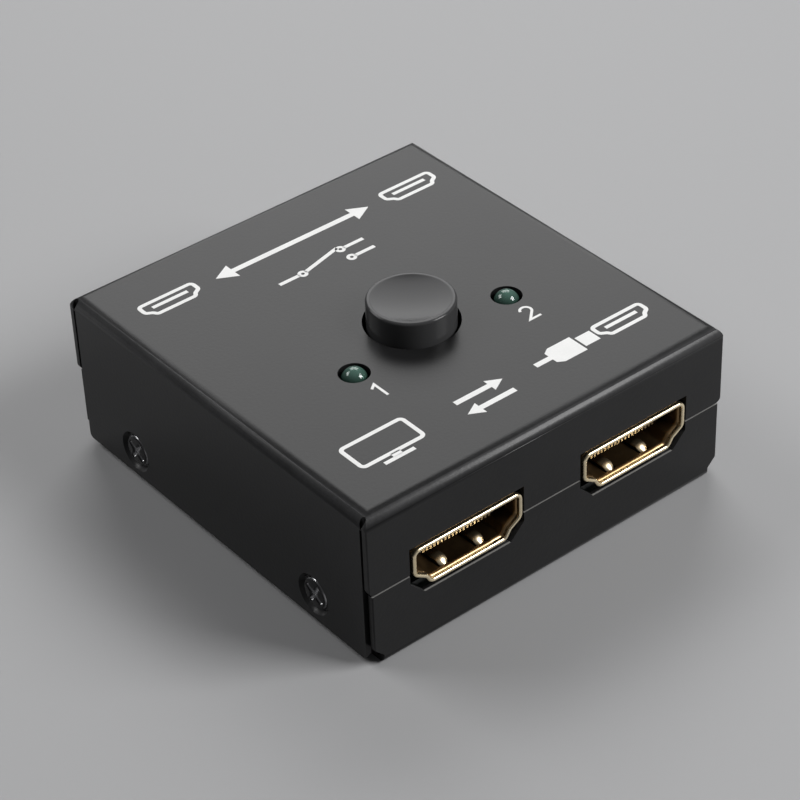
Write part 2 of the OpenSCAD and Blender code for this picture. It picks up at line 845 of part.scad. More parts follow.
module standoffs() {
    color("#c2b280") for (p = STANDOFFS) translate([p.x, p.y, 0]) difference() {
        union() {
            translate([0, 0, sheet_t]) cylinder(d = standoff_d, h = standoff_h);
            cylinder(d = rivet_d, h = sheet_t);
        }
        translate([0, 0, sheet_t]) cylinder(d = board_screw_d + 2 * fit, h = standoff_h + over);
    }
}

module board_screws() {
    color("#b8babd") for (p = STANDOFFS) translate([p.x, p.y, board_top]) difference() {
        union() {
            translate([0, 0, -board_screw_l])
                cylinder(d = board_screw_d, h = board_screw_l + board_head_t / 2);
            cylinder(d = board_head_d, h = board_head_t);
        }
        translate([0, 0, board_head_t]) cross_recess(cross_l, cross_w, board_head_t / 2);
    }
}

module switch_chip() {
    color("#17181a") translate([chip_at.x, chip_at.y, 0])
        block(chip_w, chip_w, chip_h, board_top + chip_lead_t);
}

module chip_leads() {
    color("#c4c6c9") translate([chip_at.x, chip_at.y, 0])
        for (a = [0, 90, 180, 270], i = [-chip_lead_last : chip_lead_last])
            rotate([0, 0, a]) translate([chip_w / 2, i * chip_lead_pitch, 0])
                block(chip_lead_l, chip_lead_w, chip_lead_t, board_top);
}

// One protection chip behind each socket's feet
module surge_chips() {
    color("#202124") at_sockets() translate([0, surge_in + surge_d / 2, -socket_z])
        block(surge_w, surge_d, surge_h, board_top);
}

// A row of small parts along x, in line with the chip or to its front
module passive_row(y) {
    for (i = [0 : passives_n - 1]) translate([chip_side + (i - (passives_n - 1) / 2) * passive_pitch, y, 0])
        block(passive_w, passive_l, passive_h, board_top);
}

module capacitors() {
    color("#b08a62") passive_row(chip_at.y + row_gap / 2);
}

module resistors() {
    color("#2b2b2d") passive_row(chip_at.y - row_gap / 2);
}

top_cover();
bottom_tray();
side_screws();
button_cap();
switch_housing();
switch_plunger();
return_spring();
contact_clips();
switch_terminals();
lamp_lens_1();
lamp_lens_2();
lamp_leads_1();
lamp_leads_2();
front_left_shell();
front_left_insert();
front_left_contacts();
front_right_shell();
front_right_insert();
front_right_contacts();
rear_shell();
rear_insert();
rear_contacts();
circuit_board();
standoffs();
board_screws();
switch_chip();
chip_leads();
surge_chips();
capacitors();
resistors();
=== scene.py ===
"""Looks of a small sheet-metal video switch box, built around its CAD frame.

The front, with two sockets, faces -Y. Lengths are millimetres until a mesh is made of them.
"""

import logging
import math
from dataclasses import dataclass, field
from enum import Enum

import bmesh
import bpy
import numpy as np
from mathutils import Euler, Matrix, Vector


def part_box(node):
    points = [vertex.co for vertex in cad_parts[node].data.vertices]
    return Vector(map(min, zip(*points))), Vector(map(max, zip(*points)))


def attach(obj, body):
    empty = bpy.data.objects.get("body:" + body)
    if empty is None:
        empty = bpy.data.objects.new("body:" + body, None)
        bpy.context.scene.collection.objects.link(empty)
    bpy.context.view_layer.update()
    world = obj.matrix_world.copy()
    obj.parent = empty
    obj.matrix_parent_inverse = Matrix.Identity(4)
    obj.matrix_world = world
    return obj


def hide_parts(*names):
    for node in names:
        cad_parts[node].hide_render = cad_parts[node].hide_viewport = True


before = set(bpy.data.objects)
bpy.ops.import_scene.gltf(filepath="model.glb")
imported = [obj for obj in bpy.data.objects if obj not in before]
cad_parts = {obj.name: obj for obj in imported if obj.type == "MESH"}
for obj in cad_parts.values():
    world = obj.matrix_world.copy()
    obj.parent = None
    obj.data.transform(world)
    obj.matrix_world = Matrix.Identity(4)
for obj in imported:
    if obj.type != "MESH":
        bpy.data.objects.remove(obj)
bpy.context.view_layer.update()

MM = 0.001
MERGE_M = 1e-7
WELD_M = 1e-6
LOG = logging.getLogger("switch_box")

Pair = tuple[float, float]
Point = tuple[float, float, float]
Color = tuple[float, float, float]
Part = tuple[np.ndarray, list]
Material = bpy.types.Material
Piece = bpy.types.Object
Node = bpy.types.Node
Wire = bpy.types.NodeSocket
Tree = bpy.types.NodeTree


class Body(Enum):
    """The CAD bodies that pieces ride on."""

    BOX = "box"
    BUTTON = "button"


class Axis(Enum):
    """The frame's axes, by their place in a point."""

    X = 0
    Y = 1
    Z = 2


class Coord(Enum):
    """What a pattern reads at a point of a surface."""

    PLACE = "Object"
    FACING = "Normal"


# Mesh tools


def node_box(node: str) -> np.ndarray:
    """Gives a CAD node's lowest and highest corner, as rows of x, y and z in millimetres."""
    low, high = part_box(node)
    return np.array([low[:], high[:]]) / MM


def quad_grid(rows: int, cols: int, close_rows: bool = False, close_cols: bool = False) -> np.ndarray:
    """Joins the points of a grid, stored row by row, into quads.

    Args:
        rows: Number of rows of points.
        cols: Number of points in a row.
        close_rows: Whether the last row is joined to the first.
        close_cols: Whether the last point of a row is joined to its first.

    Returns:
        One row of four point numbers for each quad.
    """
    i, j = np.meshgrid(
        np.arange(rows if close_rows else rows - 1),
        np.arange(cols if close_cols else cols - 1),
        indexing="ij",
    )
    below, beside = (i + 1) % rows, (j + 1) % cols
    quads = np.stack([i * cols + j, below * cols + j, below * cols + beside, i * cols + beside], -1)
    return quads.reshape(-1, 4)


def arc(centre: Pair, radius: float, start: float, end: float, steps: int) -> np.ndarray:
    """Gives points on an arc: the centre plus radius times cosine and sine of angles in degrees."""
    angles = np.radians(np.linspace(start, end, steps))
    return np.array(centre) + radius * np.stack([np.cos(angles), np.sin(angles)], -1)


def lathe(profile: np.ndarray, centre: np.ndarray, turns: int) -> Part:
    """Turns a half section about an upright axis: x and y are the radius times cosine and sine.

    Args:
        profile: Rows of radius and height, from one end on the axis to the other.
        centre: x, y and z of the axis at height 0.
        turns: Number of steps round the axis.

    Returns:
        The points and the quads.
    """
    angles = np.linspace(0, 2 * np.pi, turns, endpoint=False)
    ring = np.stack([np.cos(angles), np.sin(angles), np.zeros(turns)], -1)
    points = profile[:, None, :1] * ring + profile[:, None, 1:] * np.array([0.0, 0.0, 1.0]) + centre
    return points.reshape(-1, 3), quad_grid(len(profile), turns, close_cols=True).tolist()


def sweep(path: np.ndarray, side: np.ndarray, up: np.ndarray, section: np.ndarray) -> Part:
    """Carries a closed section along a path: each point is path + side * a + up * b.

    Args:
        path: Rows of points along the path.
        side: The section's first direction at each of them.
        up: The section's second direction at each of them.
        section: Rows of a and b round the section, the same all along or one set per path point.

    Returns:
        The points and the faces, with a cap at either end.
    """
    section = np.broadcast_to(section, (len(path),) + section.shape[-2:])
    points = path[:, None] + side[:, None] * section[..., :1] + up[:, None] * section[..., 1:]
    rows, cols = points.shape[:2]
    caps = [list(range(cols)), list(range((rows - 1) * cols, rows * cols))]
    return points.reshape(-1, 3), quad_grid(rows, cols, close_cols=True).tolist() + caps


def join_parts(parts: list[Part]) -> Part:
    """Puts several sets of points and faces into one."""
    starts = np.cumsum([0] + [len(points) for points, _ in parts])
    faces = [[k + start for k in face] for start, (_, part) in zip(starts, parts) for face in part]
    return np.concatenate([points for points, _ in parts]), faces


def make_piece(name: str, part: Part, closed: bool = True, sharp: float = 35.0) -> Piece:
    """Makes a smooth-shaded mesh object at the origin.

    Args:
        name: Name of the piece.
        part: Rows of x, y and z in millimetres, and lists of point numbers for the faces.
        closed: Whether the surface is closed, so that its faces are turned outwards.
        sharp: Edges bent by more than this angle in degrees stay sharp.

    Returns:
        The object.
    """
    points, faces = part
    mesh = bpy.data.meshes.new(name)
    mesh.from_pydata((points * MM).tolist(), [], faces)
    work = bmesh.new()
    work.from_mesh(mesh)
    bmesh.ops.remove_doubles(work, verts=work.verts, dist=MERGE_M)
    if closed:
        bmesh.ops.recalc_face_normals(work, faces=work.faces)
    work.to_mesh(mesh)
    work.free()
    mesh.polygons.foreach_set("use_smooth", np.ones(len(mesh.polygons), bool))
    mesh.set_sharp_from_angle(angle=math.radians(sharp))
    piece = bpy.data.objects.new(name, mesh)
    bpy.context.scene.collection.objects.link(piece)
    return piece


def fit_piece(piece: Piece, body: Body, slot: str, material: Material, *nodes: str) -> None:
    """Gives a new piece its finish, its body and the CAD nodes that it stands for.

    Args:
        piece: The piece.
        body: The body that it rides on.
        slot: The record's material slot; not used.
        material: Its finish.
        *nodes: CAD nodes that it replaces.
    """
    piece.data.materials.append(material)
    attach(piece, body.value)
    if nodes:
        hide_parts(*nodes)
    LOG.info("%s rides on %s and stands for %s", piece.name, body.value, ", ".join(nodes) or "no node")


def dress_node(node: str, material: Material, bevel: float = 0.0, steps: int = 2, bend: float = 40.0) -> None:
    """Gives a CAD node its finish and, where it shows, small rounded edges.

    Args:
        node: Name of the CAD node.
        material: Its finish.
        bevel: Width of the rounded edges in millimetres, or 0 for none.
        steps: Number of faces across a rounded edge.
        bend: Edges bent by more than this angle in degrees are rounded.
    """
    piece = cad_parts[node]
    piece.data.materials.clear()
    piece.data.materials.append(material)
    if bevel:
        weld = piece.modifiers.new("weld", "WELD")
        weld.merge_threshold = WELD_M
        rounding = piece.modifiers.new("rounding", "BEVEL")
        rounding.width = bevel * MM
        rounding.segments = steps
        rounding.limit_method = "ANGLE"
        rounding.angle_limit = math.radians(bend)
        rounding.harden_normals = True
    LOG.info("%s is dressed in %s", node, material.name)


# Shader tools

RISE = (0.0, 1.0)
FALL = (1.0, 0.0)
CLOUD_SCALE = 0.05
CLOUD_SHARE = 0.65
EDGE_UP = (0.45, 0.65)
EDGE_ASIDE = (0.2, 0.4)


class ShaderBoard:
    """A node tree with short ways to add nodes and join them."""

    def __init__(self, tree: Tree) -> None:
        """Keeps the tree that the nodes go into."""
        self.tree = tree

    def add(self, kind: str, **settings: object) -> Node:
        """Adds a node of Blender's named kind and sets its properties."""
        made = self.tree.nodes.new(kind)
        for key, value in settings.items():
            setattr(made, key, value)
        return made

    def feed(self, target: Wire, value: object) -> None:
        """Joins a socket to an input, or sets the input to a number or colour."""
        if isinstance(value, Wire):
            self.tree.links.new(value, target)
        else:
            target.default_value = value

    def math(self, operation: str, a: object, b: object = 0.0) -> Wire:
        """Adds a math node on two sockets or numbers and gives its result."""
        made = self.add("ShaderNodeMath", operation=operation)
        self.feed(made.inputs[0], a)
        self.feed(made.inputs[1], b)
        return made.outputs[0]

    def remap(self, value: object, before: Pair, after: Pair) -> Wire:
        """Maps a socket's value from one range to another, held inside it."""
        made = self.add("ShaderNodeMapRange", clamp=True)
        for number, item in enumerate((value, *before, *after)):
            self.feed(made.inputs[number], item)
        return made.outputs[0]

    def blend(self, share: object, first: object, second: object) -> Wire:
        """Mixes two colours or sockets, with a share of the second one."""
        made = self.add("ShaderNodeMix", data_type="RGBA")
        self.feed(made.inputs[0], share)
        for number, color in ((6, first), (7, second)):
            self.feed(made.inputs[number], color if isinstance(color, Wire) else (*color, 1.0))
        return made.outputs[2]

    def along(self, coord: Coord, axis: Axis) -> Wire:
        """Gives one coordinate of a surface point's place or facing."""
        split = self.add("ShaderNodeSeparateXYZ")
        self.feed(split.inputs[0], self.add("ShaderNodeTexCoord").outputs[coord.value])
        return split.outputs[axis.value]

    def group(self, tree: Tree, **values: object) -> Node:
        """Places a node group and feeds its named inputs."""
        made = self.add("ShaderNodeGroup", node_tree=tree)
        for key, value in values.items():
            self.feed(made.inputs[key], value)
        return made


def new_group(name: str, inputs: dict[str, float], outputs: list[str]) -> tuple[Tree, ShaderBoard]:
    """Starts a shader node group with number sockets.

    Args:
        name: Name of the group.
        inputs: Input names with their usual values.
        outputs: Output names.

    Returns:
        The group and a board to draw on.
    """
    tree = bpy.data.node_groups.new(name, "ShaderNodeTree")
    for key, value in inputs.items():
        made = tree.interface.new_socket(key, in_out="INPUT", socket_type="NodeSocketFloat")
        made.default_value = value
    for key in outputs:
        tree.interface.new_socket(key, in_out="OUTPUT", socket_type="NodeSocketFloat")
    return tree, ShaderBoard(tree)


def grain_group() -> Tree:
    """Builds the grain that most finishes share.

    Height is fine noise of the wanted scale. Tone is a mix of broad clouds and fine specks.

    Returns:
        The group, made once.
    """
    known = bpy.data.node_groups.get("surface_grain")
    if known:
        return known
    tree, board = new_group("surface_grain", {"Scale": 3000.0}, ["Height", "Tone"])
    given = board.add("NodeGroupInput")
    result = board.add("NodeGroupOutput")
    place = board.add("ShaderNodeTexCoord").outputs[Coord.PLACE.value]
    fine = board.add("ShaderNodeTexNoise", noise_dimensions="3D")
    broad = board.add("ShaderNodeTexNoise", noise_dimensions="3D")
    for made, detail in ((fine, 2.0), (broad, 4.0)):
        board.feed(made.inputs["Vector"], place)
        board.feed(made.inputs["Detail"], detail)
    board.feed(fine.inputs["Scale"], given.outputs["Scale"])
    board.feed(broad.inputs["Scale"], board.math("MULTIPLY", given.outputs["Scale"], CLOUD_SCALE))
    board.feed(result.inputs["Height"], fine.outputs[0])
    clouds = board.math("MULTIPLY", broad.outputs[0], CLOUD_SHARE)
    specks = board.math("MULTIPLY", fine.outputs[0], 1 - CLOUD_SHARE)
    board.feed(result.inputs["Tone"], board.math("ADD", clouds, specks))
    return tree


def cut_edge_group() -> Tree:
    """Builds the mask of the sheet's cut edges that look up in the front and rear walls, where the coat
    paints a highlight.

    What lies just behind the outer face of a wall, between two heights, and looks straight up or up and
    forwards is such an edge. Sloping cut edges look sideways too and stay out.

    Returns:
        The group, made once.
    """
    known = bpy.data.node_groups.get("cut_edges")
    if known:
        return known
    tree, board = new_group("cut_edges", {"Inner Face": 0.0, "Low": 0.0, "High": 1.0}, ["Mask"])
    given = board.add("NodeGroupInput")
    result = board.add("NodeGroupOutput")
    height = board.along(Coord.PLACE, Axis.Z)
    depth = board.math("ABSOLUTE", board.along(Coord.PLACE, Axis.Y))
    aside = board.math("ABSOLUTE", board.along(Coord.FACING, Axis.X))
    tests = (
        board.math("GREATER_THAN", depth, given.outputs["Inner Face"]),
        board.math("GREATER_THAN", height, given.outputs["Low"]),
        board.math("LESS_THAN", height, given.outputs["High"]),
        board.remap(aside, EDGE_ASIDE, FALL),
    )
    mask = board.remap(board.along(Coord.FACING, Axis.Z), EDGE_UP, RISE)
    for test in tests:
        mask = board.math("MULTIPLY", mask, test)
    board.feed(result.inputs["Mask"], mask)
    return tree


# Finishes


def new_material(name: str, **values: object) -> tuple[Material, ShaderBoard, Node]:
    """Starts a material with a principled shader.

    Args:
        name: Name of the material.
        **values: Fixed values of the shader, by the names of its inputs.

    Returns:
        The material, its board and the shader node.
    """
    material = bpy.data.materials.new(name)
    material.use_nodes = True
    shader = material.node_tree.nodes["Principled BSDF"]
    for key, value in values.items():
        shader.inputs[key].default_value = value
    return material, ShaderBoard(material.node_tree), shader


def shade(color: Color, change: float) -> Color:
    """Makes a colour lighter or darker by a share of itself, held at full."""
    return tuple(min((1 + change) * c, 1.0) for c in color)


def add_skin(board: ShaderBoard, shader: Node, color: Wire, rough: Wire) -> None:
    """Feeds a shader its varying colour and roughness."""
    board.feed(shader.inputs["Base Color"], color)
    board.feed(shader.inputs["Roughness"], rough)


def add_bump(board: ShaderBoard, shader: Node, height: object, depth: float) -> None:
    """Gives a shader small relief of a depth in millimetres."""
    bump = board.add("ShaderNodeBump")
    board.feed(bump.inputs["Strength"], 1.0)
    board.feed(bump.inputs["Distance"], depth * MM)
    board.feed(bump.inputs["Height"], height)
    board.feed(shader.inputs["Normal"], bump.outputs[0])


@dataclass(frozen=True)
class PowderCoat:
    """Satin black powder coat: worn, with a painted sheen, on the upper bends, and a painted highlight on the
    cut edges that look up.
    """

    name: str
    inner_face: float
    low: float
    high: float
    color: Color = (0.011, 0.011, 0.0113)
    spread: float = 0.15
    # paler colour of the upper bends: wear with a painted sheen
    rubbed: Color = (0.043, 0.043, 0.044)
    # pale colour of the cut edges that look up: a thin coat with a painted highlight
    edge: Color = (0.25, 0.246, 0.238)
    edge_highlight_share: float = 0.85
    bend_low: Pair = (0.25, 0.55)
    bend_high: Pair = (0.9, 0.985)
    patch_tone: Pair = (0.2, 0.8)
    patch_share: Pair = (0.6, 1.0)
    grain: float = 2400.0
    clouds: Pair = (0.3, 0.7)
    depth: float = 0.009
    rough: Pair = (0.29, 0.32)
    gloss: float = 0.22

    def material(self) -> Material:
        """Builds the coat: grain in its relief and roughness, paler where it looks half up, a painted sheen
        with wear, and on cut edges, a painted highlight.
        """
        material, board, shader = new_material(self.name, **{"Specular IOR Level": self.gloss})
        grain = board.group(grain_group(), Scale=self.grain)
        tone = board.remap(grain.outputs["Tone"], self.clouds, RISE)
        paint = board.blend(tone, shade(self.color, -self.spread), shade(self.color, self.spread))
        # painted sheen with wear: where the coat looks half up, on the upper bends, it turns in patches to a
        # paler colour
        up = board.along(Coord.FACING, Axis.Z)
        steep, flat = board.remap(up, self.bend_low, RISE), board.remap(up, self.bend_high, FALL)
        bend = board.math("MULTIPLY", steep, flat)
        patches = board.remap(tone, self.patch_tone, self.patch_share)
        paint = board.blend(board.math("MULTIPLY", bend, patches), paint, self.rubbed)
        # painted highlight with a thin coat: the cut edges that look up turn pale
        limits = {"Inner Face": self.inner_face * MM, "Low": self.low * MM, "High": self.high * MM}
        edges = board.group(cut_edge_group(), **limits)
        bare = board.math("MULTIPLY", edges.outputs["Mask"], self.edge_highlight_share)
        add_skin(board, shader, board.blend(bare, paint, self.edge), board.remap(tone, RISE, self.rough))
        add_bump(board, shader, grain.outputs["Height"], self.depth)
        return material


@dataclass(frozen=True)
class Clouded:
    """A surface whose two tones mix in soft clouds, with a fine skin."""

    name: str
    first: Color
    second: Color
    rough: Pair
    grain: float = 5000.0
    clouds: Pair = (0.3, 0.7)
    depth: float = 0.003
    gloss: float = 0.5
    metal: float = 0.0

    def material(self) -> Material:
        """Builds the material, whose colour and roughness follow the clouds."""
        values = {"Specular IOR Level": self.gloss, "Metallic": self.metal}
        material, board, shader = new_material(self.name, **values)
        grain = board.group(grain_group(), Scale=self.grain)
        tone = board.remap(grain.outputs["Tone"], self.clouds, RISE)
        color = board.blend(tone, self.first, self.second)
        add_skin(board, shader, color, board.remap(tone, RISE, self.rough))
        add_bump(board, shader, grain.outputs["Height"], self.depth)
        return material


@dataclass(frozen=True)
class Plating(Clouded):
    """Plated or bare metal, a little duller in its clouds."""

    grain: float = 1500.0
    clouds: Pair = (0.35, 0.65)
    depth: float = 0.002
    metal: float = 1.0


def moulding(name: str, color: Color, rough: Pair, spread: float = 0.12, **rest: float) -> Clouded:
    """Gives a moulded plastic or ink whose clouds are a share darker and lighter than its colour."""
    return Clouded(name, shade(color, -spread), shade(color, spread), rough, **rest)


@dataclass(frozen=True)
class WearAndShadeMetal:
    """Metal of two colours, one nearer the middle of the box along an axis and one further out."""

    name: str
    axis: Axis
    low: float
    high: float
    inner: Color
    outer: Color
    rough: Pair
    grain: float = 1500.0
    clouds: Pair = (0.35, 0.65)

    def material(self) -> Material:
        """Builds the metal, whose colour changes between two distances from the middle."""
        material, board, shader = new_material(self.name, Metallic=1.0)
        away = board.math("ABSOLUTE", board.along(Coord.PLACE, self.axis))
        share = board.remap(away, (self.low * MM, self.high * MM), RISE)
        grain = board.group(grain_group(), Scale=self.grain)
        rough = board.remap(grain.outputs["Tone"], self.clouds, self.rough)
        add_skin(board, shader, board.blend(share, self.inner, self.outer), rough)
        return material


@dataclass(frozen=True)
class CapPlastic:
    """Satin plastic of the button, polished on its rim and side, and paler there as painted light: a painted
    highlight on the rim and a lit side.
    """

    name: str
    centre: Pair
    rim: float
    fade: float = 0.12
    top: Color = (0.022, 0.022, 0.023)
    # painted light: the rim and side take a paler copy of the top's colour
    side: Color = (0.045, 0.045, 0.046)
    rough: Pair = (0.185, 0.08)
    gloss: float = 0.18

    def material(self) -> Material:
        """Builds the plastic, whose polish changes, and whose colour turns paler as painted light, where a
        point lies beyond the rim's start.
        """
        material, board, shader = new_material(self.name, **{"Specular IOR Level": self.gloss})
        flat = board.add("ShaderNodeVectorMath", operation="MULTIPLY")
        board.feed(flat.inputs[0], board.add("ShaderNodeTexCoord").outputs[Coord.PLACE.value])
        board.feed(flat.inputs[1], (1.0, 1.0, 0.0))
        away = board.add("ShaderNodeVectorMath", operation="DISTANCE")
        board.feed(away.inputs[0], flat.outputs["Vector"])
        board.feed(away.inputs[1], (self.centre[0] * MM, self.centre[1] * MM, 0.0))
        share = board.remap(away.outputs["Value"], (self.rim * MM, (self.rim + self.fade) * MM), RISE)
        add_skin(board, shader, board.blend(share, self.top, self.side), board.remap(share, RISE, self.rough))
        return material


@dataclass(frozen=True)
class LampResin:
    """Tinted cloudy resin, darker from the crown towards the lamp's flange as painted shade in the lamp's
    hole.
    """

    name: str
    high: float
    shade_depth: float = 1.2
    crown: Color = (0.24, 0.47, 0.38)
    foot: Color = (0.02, 0.07, 0.05)
    clear: float = 0.74
    index: float = 1.5
    grain: float = 2000.0
    clouds: Pair = (0.3, 0.7)
    rough: Pair = (0.03, 0.08)

    def material(self) -> Material:
        """Builds a glassy resin whose colour follows the height, darker lower down as painted shade."""
        values = {"Transmission Weight": self.clear, "IOR": self.index}
        material, board, shader = new_material(self.name, **values)
        # painted shade: the lens darkens from the crown colour to the foot colour below its top
        span = ((self.high - self.shade_depth) * MM, self.high * MM)
        height = board.remap(board.along(Coord.PLACE, Axis.Z), span, RISE)
        grain = board.group(grain_group(), Scale=self.grain)
        rough = board.remap(grain.outputs["Tone"], self.clouds, self.rough)
        add_skin(board, shader, board.blend(height, self.foot, self.crown), rough)
        return material


# Sub-assemblies


@dataclass
class SheetCase:
    """The folded cover and tray."""

    edge_highlight_band: float = 0.24
    edges_from: float = 3.0
    slack: float = 0.05
    rounding: float = 0.11

    def dress(self) -> None:
        """Gives both sheets their powder coat and rounded edges."""
        cover, tray = node_box("top_cover"), node_box("bottom_tray")
        # painted highlight: the cut edges turn pale to this depth behind the walls' outer faces
        inner = cover[1, 1] - self.edge_highlight_band
        coat = PowderCoat("cover_coat", inner, cover[0, 2], tray[1, 2])
        dress_node("top_cover", coat.material(), self.rounding)
        coat = PowderCoat("tray_coat", inner, tray[0, 2] + self.edges_from, tray[1, 2] + self.slack)
        dress_node("bottom_tray", coat.material(), self.rounding)


@dataclass(frozen=True)
class DOutline:
    """The D-shaped outline of a socket's opening, wide side up."""

    width: float = 14.0
    height: float = 4.55
    side: float = 2.7
    shoulder_w: float = 1.45
    shoulder_h: float = 0.9
    foot: float = 9.9
    radius: float = 0.5
    least: float = 0.08
    steps: int = 7
    before_floor: int = 5

    def corners(self) -> np.ndarray:
        """Gives the eight sharp corners, counter-clockwise from the top right."""
        w, h, f = self.width / 2, self.height / 2, self.foot / 2
        s = h - self.side
        left = np.array([[-w, h], [-w, s], [self.shoulder_w - w, s - self.shoulder_h], [-f, -h]])
        return np.concatenate([[[w, h]], left, [[f, -h]], (left * [-1, 1])[2:0:-1]])

    def grown(self, grow: np.ndarray) -> np.ndarray:
        """Rounds the outline at several distances outside it.

        Each corner moves out along its mitre. An outer corner's radius grows with the distance and an inner
        one's shrinks. An arc's points are its centre plus the radius times cosine and sine.

        Args:
            grow: The distances.

        Returns:
            For each distance, the rows of x and z round the outline.
        """
        at = self.corners()
        ahead = np.roll(at, -1, 0) - at
        ahead /= np.linalg.norm(ahead, axis=1, keepdims=True)
        behind = np.roll(ahead, 1, 0)
        out_a, out_b = behind[:, ::-1] * [1, -1], ahead[:, ::-1] * [1, -1]
        mitre = (out_a + out_b) / (1 + (out_a * out_b).sum(1, keepdims=True))
        turn = np.arctan2(
            behind[:, 0] * ahead[:, 1] - behind[:, 1] * ahead[:, 0], (behind * ahead).sum(1)
        )
        grow = np.asarray(grow, float)[:, None]
        radius = np.maximum(self.radius + grow * np.sign(turn), self.least)
        centre = at + grow[..., None] * mitre - (radius * np.sign(turn))[..., None] * mitre
        first = np.arctan2(out_a[:, 1], out_a[:, 0]) + np.where(turn < 0, np.pi, 0.0)
        angle = first[:, None] + turn[:, None] * np.linspace(0, 1, self.steps)
        ring = np.stack([np.cos(angle), np.sin(angle)], -1)
        return (centre[:, :, None] + radius[..., None, None] * ring).reshape(len(grow), -1, 2)


@dataclass
class Socket:
    """One plated socket: its rolled rim, its tube with finger windows and its two spring fingers."""

    name: str
    turned: bool = False
    outline: DOutline = field(default_factory=DOutline)
    wall: float = 0.3
    rim: float = 0.45
    rim_depth: float = 0.5
    rim_round: float = 0.2
    rim_steps: int = 6
    throat: float = 9.0
    depth: float = 12.0
    finger_at: float = 2.5
    finger_w: float = 1.25
    finger_t: float = 0.2
    finger_nose: float = 2.15
    finger_tip: float = 1.25
    finger_root: float = 6.2
    finger_rise: float = 0.46
    finger_dip: float = 0.1
    finger_crown: float = 0.15
    finger_taper: float = 0.35
    finger_steps: tuple[int, int, int] = (18, 14, 11)
    finger_shade_span: Pair = (2.3, 2.9)
    window: Pair = (1.1, 6.0)
    window_slack: float = 0.18
    insert_edge: float = 0.04

    def __post_init__(self) -> None:
        """Reads the socket's place from its CAD shell and the board under it."""
        shell, board = node_box(f"{self.name}_shell"), node_box("circuit_board")
        self.sign = -1.0 if self.turned else 1.0
        mouth = shell[1, 1] if self.turned else shell[0, 1]
        self.at = np.array([shell[:, 0].mean(), mouth, board[1, 2] + self.wall + self.outline.height / 2])

    def place(self, points: np.ndarray) -> np.ndarray:
        """Moves points from the socket's own x, depth and z to the box's frame, one per row."""
        return self.at + points.reshape(-1, 3) * [self.sign, self.sign, 1.0]

    def loft(self, depths: np.ndarray, grow: np.ndarray) -> np.ndarray:
        """Stacks outlines at the given depths and distances as rows of x, depth and z."""
        flat = self.outline.grown(grow)
        deep = np.broadcast_to(np.asarray(depths, float)[:, None], flat.shape[:2])
        return np.stack([flat[..., 0], deep, flat[..., 1]], -1)

    def build_rim(self) -> Piece:
        """Carries the rim's rounded section round the outline."""
        r, d, w = self.rim_round, self.rim_depth, self.rim
        inner = arc((r, r), r, 270, 180, self.rim_steps)
        outer = arc((r, w - r), r, 180, 90, self.rim_steps)
        section = np.concatenate([inner, outer, [[d, w], [d, 0.0]]])
        rings = self.loft(section[:, 0], section[:, 1])
        faces = quad_grid(*rings.shape[:2], close_rows=True, close_cols=True)
        return make_piece(f"{self.name}_rim", (self.place(rings), faces.tolist()), sharp=50)

    def build_tube(self) -> Piece:
        """Makes the inner skin with the finger windows left out, and gives it the wall's thickness."""
        half = self.finger_w / 2 + self.window_slack
        edges = np.array([side * self.finger_at + way * half for side in (-1, 1) for way in (-1, 1)])
        depths = np.array([self.rim_depth, *self.window, self.throat, self.depth])
        skin = self.loft(depths, np.zeros(len(depths)))
        split = self.outline.before_floor * self.outline.steps
        across, deep = np.meshgrid(edges, depths)
        floor = np.stack([across, deep, np.full_like(deep, -self.outline.height / 2)], -1)
        skin = np.concatenate([skin[:, :split], floor, skin[:, split:]], 1)
        rows, cols = skin.shape[:2]
        quads = quad_grid(rows, cols, close_cols=True)
        row, col = quads[:, 0] // cols, quads[:, 0] % cols
        keep = ~((row == 1) & np.isin(col, [split, split + 2]))
        piece = make_piece(f"{self.name}_tube", (self.place(skin), quads[keep].tolist()), closed=False)
        thick = piece.modifiers.new("wall", "SOLIDIFY")
        thick.thickness = self.wall * MM
        thick.offset = 1.0
        return piece

    def build_fingers(self) -> Piece:
        """Carries a flat section along each finger.

        The finger climbs from its root in a smooth step to the nose, and falls from there in a parabola. Its
        section is an arched strip, narrower at the tip, with a crown that grows towards the nose.
        """
        rise_steps, fall_steps, wide_steps = self.finger_steps
        rise = np.linspace(self.finger_root, self.finger_nose, rise_steps)
        deep = np.concatenate([rise, np.linspace(self.finger_nose, self.finger_tip, fall_steps)[1:]])
        climb = np.clip((self.finger_root - deep) / (self.finger_root - self.finger_nose), 0, 1)
        fall = np.clip((self.finger_nose - deep) / (self.finger_nose - self.finger_tip), 0, 1)
        lift = self.finger_rise * climb**2 * (3 - 2 * climb) - (self.finger_rise + self.finger_dip) * fall**2
        floor = -self.outline.height / 2 - self.finger_t / 2
        path = np.stack([np.zeros_like(deep), deep, floor + lift], -1)
        along = np.gradient(path, axis=0)
        along /= np.linalg.norm(along, axis=1, keepdims=True)
        side = np.broadcast_to([1.0, 0.0, 0.0], path.shape)
        across = np.linspace(1, -1, wide_steps)
        width = self.finger_w / 2 * (1 - self.finger_taper * fall**4)
        arch = self.finger_crown * climb[:, None] * (1 - across**2)
        a = width[:, None] * across
        upper = np.stack([a, arch + self.finger_t / 2], -1)
        lower = np.stack([a, arch - self.finger_t / 2], -1)[:, ::-1]
        points, faces = sweep(path, side, np.cross(along, side), np.concatenate([upper, lower], 1))
        shifts = [np.array([s * self.finger_at, 0.0, 0.0]) for s in (-1, 1)]
        points, faces = join_parts([(points + shift, faces) for shift in shifts])
        return make_piece(f"{self.name}_fingers", (self.place(points), faces), sharp=50)

    def finger_gold(self) -> WearAndShadeMetal:
        """Gives the fingers' plating, bright at the nose and darker behind it as painted shade deeper in the
        socket.
        """
